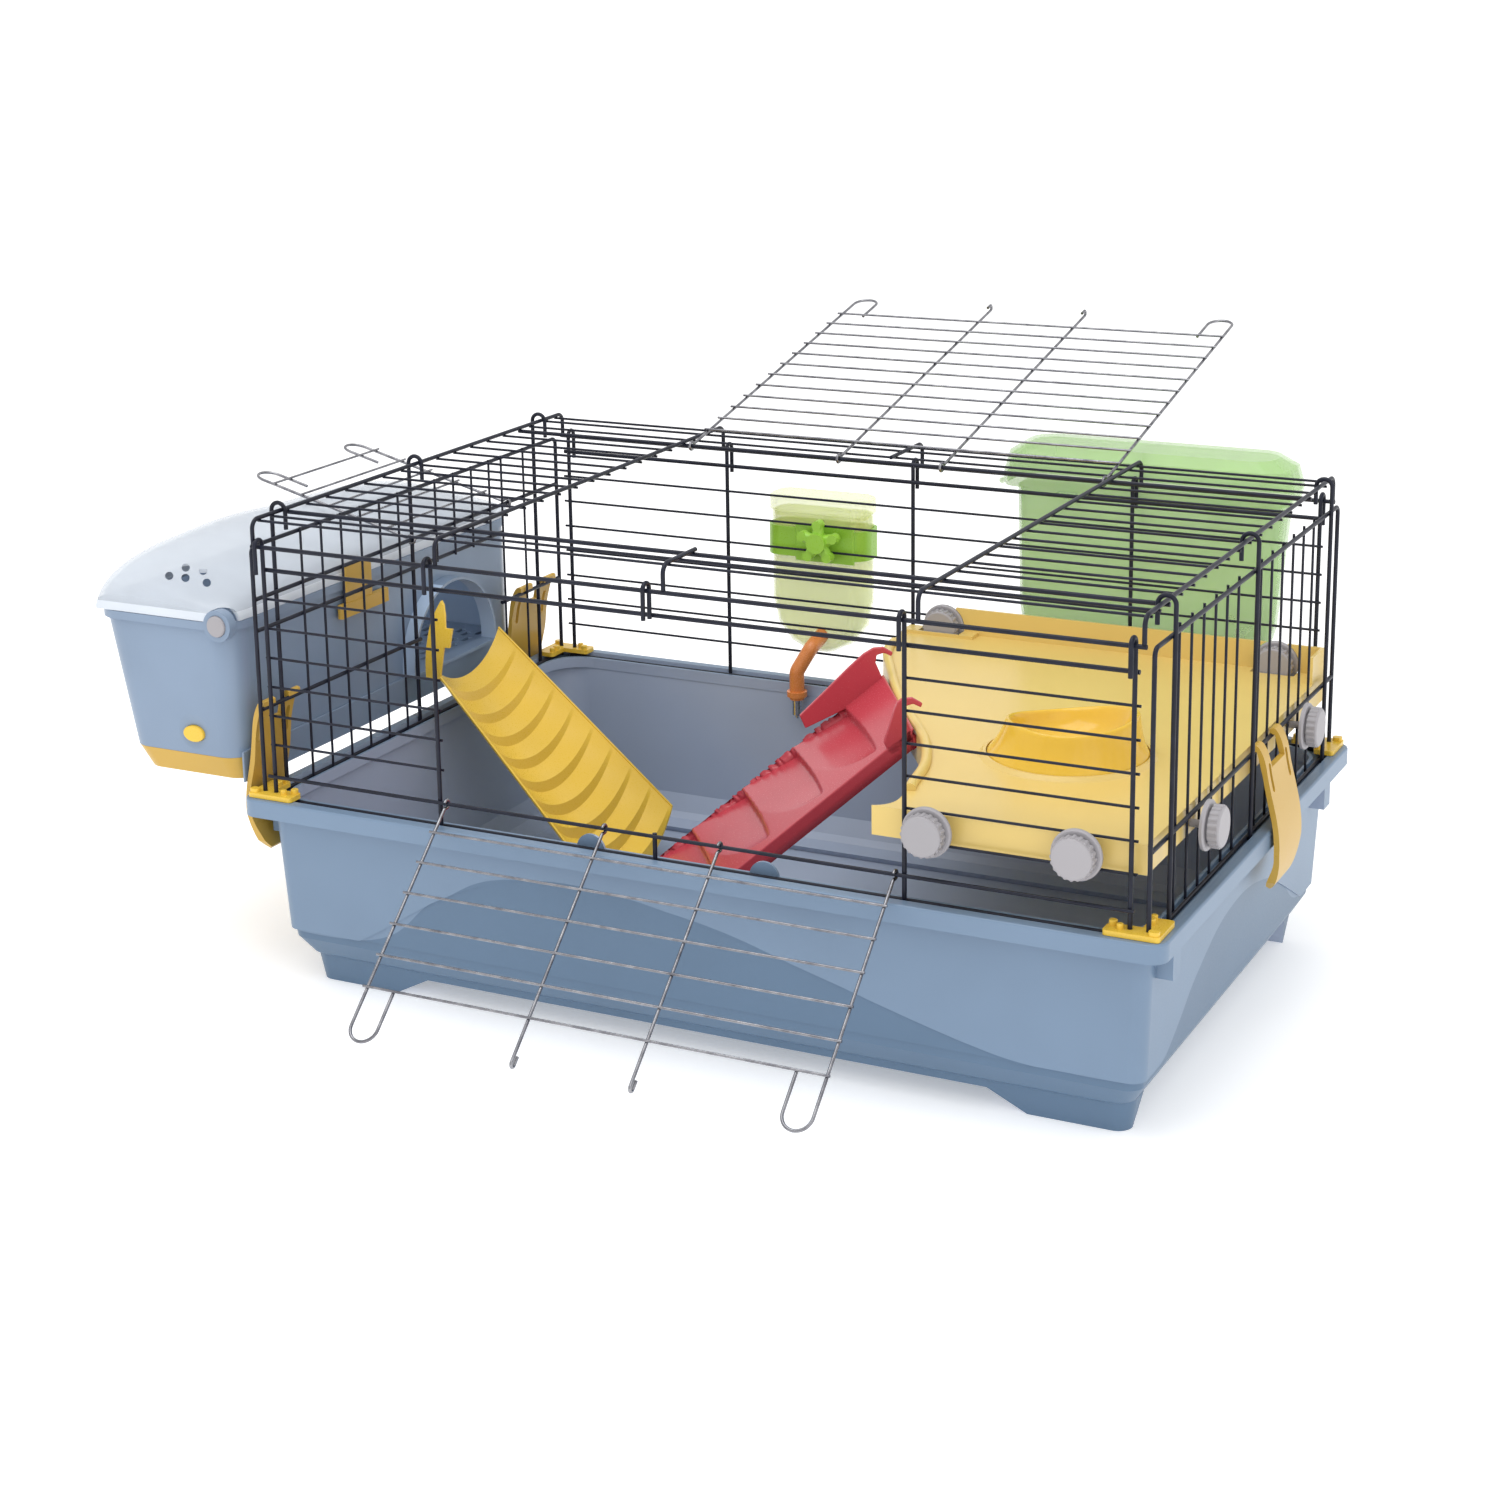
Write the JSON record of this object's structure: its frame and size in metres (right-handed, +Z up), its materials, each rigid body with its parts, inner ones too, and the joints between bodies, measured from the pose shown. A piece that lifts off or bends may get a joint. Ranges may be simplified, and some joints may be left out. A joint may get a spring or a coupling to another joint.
{
  "type": "hamster cage",
  "caption": "Wire pet cage on a deep plastic tub, with opening doors, platform, ramps, bowl, water bottle, hay rack and a clip-on carrier.",
  "frame": {"origin": "on the floor under the middle of the tub", "axes": "+X towards the right-hand end, away from the carrier; +Y towards the back wall; +Z up"},
  "size_m": [0.9637, 0.9482, 0.4909],
  "materials": {
    "tub_plastic": null,
    "wire_paint": null,
    "chrome_wire": null,
    "yellow_plastic": null,
    "cream_plastic": null,
    "red_plastic": null,
    "carrier_blue": null,
    "clear_dome": null,
    "green_plastic": null,
    "bottle_plastic": null,
    "hay_green": null,
    "orange_plastic": null,
    "grey_plastic": null,
    "steel": null
  },
  "bodies": {
    "tub": {"tub": "tub_plastic"},
    "wire_cage": {"front_panel": "wire_paint", "back_panel": "wire_paint", "left_panel": "wire_paint", "right_panel": "wire_paint", "roof_panel": "wire_paint", "corner_connector_front_left": "yellow_plastic", "corner_connector_front_right": "yellow_plastic", "corner_connector_back_left": "yellow_plastic", "corner_connector_back_right": "yellow_plastic", "platform": "cream_plastic", "bottle_holder": "green_plastic"},
    "front_door": {"front_door": "chrome_wire"},
    "roof_door": {"roof_door": "chrome_wire"},
    "left_door": {"left_door": "chrome_wire"},
    "clip_right": {"clip_right": "yellow_plastic"},
    "clip_left_front": {"clip_left_front": "yellow_plastic"},
    "clip_left_back": {"clip_left_back": "yellow_plastic"},
    "carrier": {"carrier_base": "carrier_blue", "carrier_tray": "yellow_plastic"},
    "carrier_lid": {"carrier_lid": "clear_dome"},
    "carrier_grate": {"carrier_grate": "carrier_blue"},
    "carrier_latch": {"carrier_latch": "yellow_plastic"},
    "round_button": {"carrier_round_button": "grey_plastic"},
    "oval_button": {"carrier_oval_button": "yellow_plastic"},
    "yellow_ramp": {"yellow_ramp": "yellow_plastic"},
    "red_ramp": {"red_ramp": "red_plastic"},
    "food_bowl": {"food_bowl": "yellow_plastic"},
    "knob_front_left": {"knob_front_left": "grey_plastic"},
    "knob_front_right": {"knob_front_right": "grey_plastic"},
    "knob_side_front": {"knob_side_front": "grey_plastic"},
    "knob_side_back": {"knob_side_back": "grey_plastic"},
    "knob_back_left": {"knob_back_left": "grey_plastic"},
    "knob_back_right": {"knob_back_right": "grey_plastic"},
    "bottle_knob": {"bottle_knob": "green_plastic"},
    "bottle": {"bottle_body": "bottle_plastic", "bottle_elbow": "orange_plastic", "bottle_nozzle": "steel"},
    "bottle_lid": {"bottle_lid": "bottle_plastic"},
    "nozzle_pin": {"nozzle_pin": "steel"},
    "hay_rack": {"hay_rack_body": "hay_green"},
    "hay_rack_lid": {"hay_rack_lid": "hay_green"}
  },
  "joints": [
    {"name": "cage_lift", "type": "slide", "parent": "tub", "child": "wire_cage", "axis": [0, 0, 1], "range_m": [0, 0.005]},
    {"name": "front_door_swing", "type": "hinge", "parent": "wire_cage", "child": "front_door", "pos_m": [0, -0.2472, 0.1887], "axis": [-1, 0, 0], "range_deg": [0, 131]},
    {"name": "roof_door_swing", "type": "hinge", "parent": "wire_cage", "child": "roof_door", "pos_m": [0, 0.1715, 0.4035], "axis": [1, 0, 0], "range_deg": [0, 166]},
    {"name": "left_door_swing", "type": "hinge", "parent": "wire_cage", "child": "left_door", "pos_m": [-0.384, 0, 0.338], "axis": [0, 1, 0], "range_deg": [0, 50]},
    {"name": "clip_right_swing", "type": "hinge", "parent": "wire_cage", "child": "clip_right", "pos_m": [0.384, 0, 0.233], "axis": [0, -1, 0], "range_deg": [0, 40]},
    {"name": "clip_left_front_swing", "type": "hinge", "parent": "wire_cage", "child": "clip_left_front", "pos_m": [-0.384, 0, 0.244], "axis": [0, 1, 0], "range_deg": [0, 2]},
    {"name": "clip_left_back_swing", "type": "hinge", "parent": "wire_cage", "child": "clip_left_back", "pos_m": [-0.384, 0, 0.244], "axis": [0, 1, 0], "range_deg": [0, 2]},
    {"name": "carrier_undock", "type": "slide", "parent": "wire_cage", "child": "carrier", "axis": [-1, 0, 0], "range_m": [0, 0.06]},
    {"name": "carrier_lid_swing", "type": "hinge", "parent": "carrier", "child": "carrier_lid", "pos_m": [-0.552, 0, 0.3156], "axis": [0, -1, 0], "range_deg": [0, 2]},
    {"name": "grate_lift", "type": "slide", "parent": "carrier", "child": "carrier_grate", "axis": [0, 0, 1], "range_m": [0, 0.04]},
    {"name": "latch_slide", "type": "slide", "parent": "carrier", "child": "carrier_latch", "axis": [0, 0, -1], "range_m": [0, 0.006]},
    {"name": "round_button_press", "type": "slide", "parent": "carrier", "child": "round_button", "axis": [0, 1, 0], "range_m": [0, 0.0025], "stiffness_N_per_m": 600},
    {"name": "oval_button_press", "type": "slide", "parent": "carrier", "child": "oval_button", "axis": [0, 1, 0], "range_m": [0, 0.002], "stiffness_N_per_m": 600},
    {"name": "yellow_ramp_lift", "type": "slide", "parent": "wire_cage", "child": "yellow_ramp", "axis": [0, 0, 1], "range_m": [0, 0.015]},
    {"name": "red_ramp_lift", "type": "slide", "parent": "wire_cage", "child": "red_ramp", "axis": [0, 0, 1], "range_m": [0, 0.03]},
    {"name": "bowl_lift", "type": "slide", "parent": "wire_cage", "child": "food_bowl", "axis": [0, 0, 1], "range_m": [0, 0.08]},
    {"name": "knob_front_left_turn", "type": "hinge", "parent": "wire_cage", "child": "knob_front_left", "pos_m": [0.215, -0.248, 0.226], "axis": [0, -1, 0], "continuous": true},
    {"name": "knob_front_right_turn", "type": "hinge", "parent": "wire_cage", "child": "knob_front_right", "pos_m": [0.331, -0.248, 0.226], "axis": [0, -1, 0], "continuous": true},
    {"name": "knob_side_front_turn", "type": "hinge", "parent": "wire_cage", "child": "knob_side_front", "pos_m": [0.3915, -0.1361, 0.221], "axis": [1, 0, 0], "continuous": true},
    {"name": "knob_side_back_turn", "type": "hinge", "parent": "wire_cage", "child": "knob_side_back", "pos_m": [0.3915, 0.1326, 0.221], "axis": [1, 0, 0], "continuous": true},
    {"name": "knob_back_left_turn", "type": "hinge", "parent": "wire_cage", "child": "knob_back_left", "pos_m": [0.028, 0.2356, 0.242], "axis": [0, -1, 0], "continuous": true},
    {"name": "knob_back_right_turn", "type": "hinge", "parent": "wire_cage", "child": "knob_back_right", "pos_m": [0.338, 0.2356, 0.242], "axis": [0, -1, 0], "continuous": true},
    {"name": "bottle_knob_turn", "type": "hinge", "parent": "wire_cage", "child": "bottle_knob", "pos_m": [-0.098, 0.2382, 0.308], "axis": [0, -1, 0], "continuous": true},
    {"name": "bottle_lift", "type": "slide", "parent": "wire_cage", "child": "bottle", "axis": [0, 0, 1], "range_m": [0, 0.004]},
    {"name": "bottle_lid_pull", "type": "slide", "parent": "bottle", "child": "bottle_lid", "axis": [0, 0, 1], "range_m": [0, 0.03]},
    {"name": "nozzle_pin_push", "type": "slide", "parent": "bottle", "child": "nozzle_pin", "axis": [0, 0, 1], "range_m": [0, 0.002]},
    {"name": "hay_rack_lift", "type": "slide", "parent": "wire_cage", "child": "hay_rack", "axis": [0, 0, 1], "range_m": [0, 0.004]},
    {"name": "hay_lid_swing", "type": "hinge", "parent": "hay_rack", "child": "hay_rack_lid", "pos_m": [0.071, 0, 0.3748], "axis": [0, -1, 0], "range_deg": [0, 3]}
  ]
}
